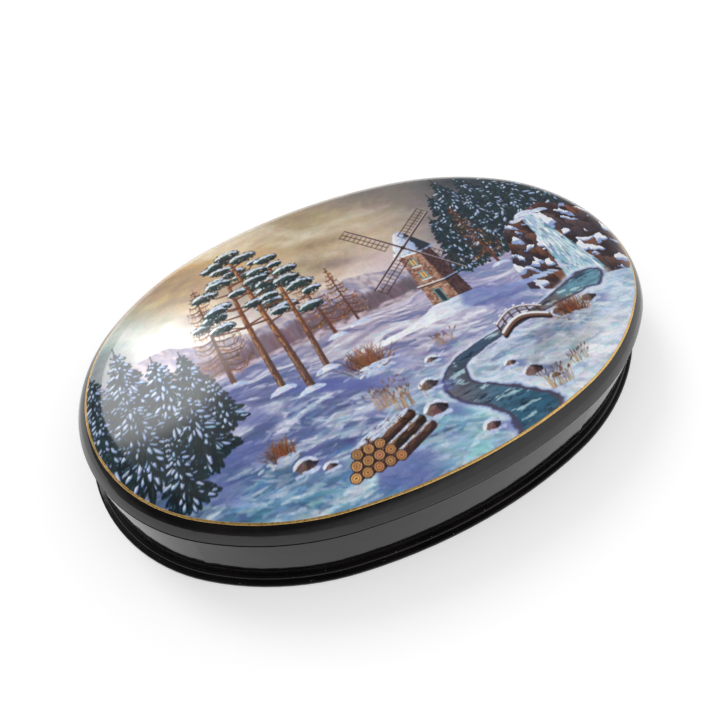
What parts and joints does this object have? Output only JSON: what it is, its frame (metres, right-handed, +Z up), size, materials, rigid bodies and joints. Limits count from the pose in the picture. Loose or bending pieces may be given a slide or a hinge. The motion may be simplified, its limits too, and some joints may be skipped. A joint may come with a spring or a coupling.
{
  "type": "lacquer box",
  "caption": "Low oval lacquered box on a moulded foot, with a domed, hinged lid that carries a painted picture inside a thin gilt line.",
  "frame": {"origin": "centre of the foot's underside, on the surface that the box stands on", "axes": "+X along the length, -Y towards the front, +Z up; the lid's hinge is at +Y"},
  "size_m": [0.1502, 0.1002, 0.0249],
  "materials": {
    "black_lacquer": "polished black lacquer over pressed papier-mache",
    "red_lacquer": "glossy red lacquer",
    "mother_of_pearl": "mother-of-pearl under clear lacquer",
    "brass": "polished, slightly toned"
  },
  "bodies": {
    "base": {"plinth": "black_lacquer", "floor_board": "red_lacquer", "body_wall": "black_lacquer", "inner_collar": "red_lacquer", "hinge_leaf_body": "brass", "hinge_pin": "brass", "hinge_nails_body": "brass"},
    "lid": {"lid_rim": "black_lacquer", "lid_panel": "black_lacquer", "pearl_inlays": "mother_of_pearl", "hinge_leaf_lid": "brass", "hinge_nails_lid": "brass"}
  },
  "joints": [
    {"name": "lid_hinge", "type": "hinge", "parent": "base", "child": "lid", "pos_m": [0, 0.0475, 0.017], "axis": [-1, 0, 0], "range_deg": [0, 105]}
  ]
}
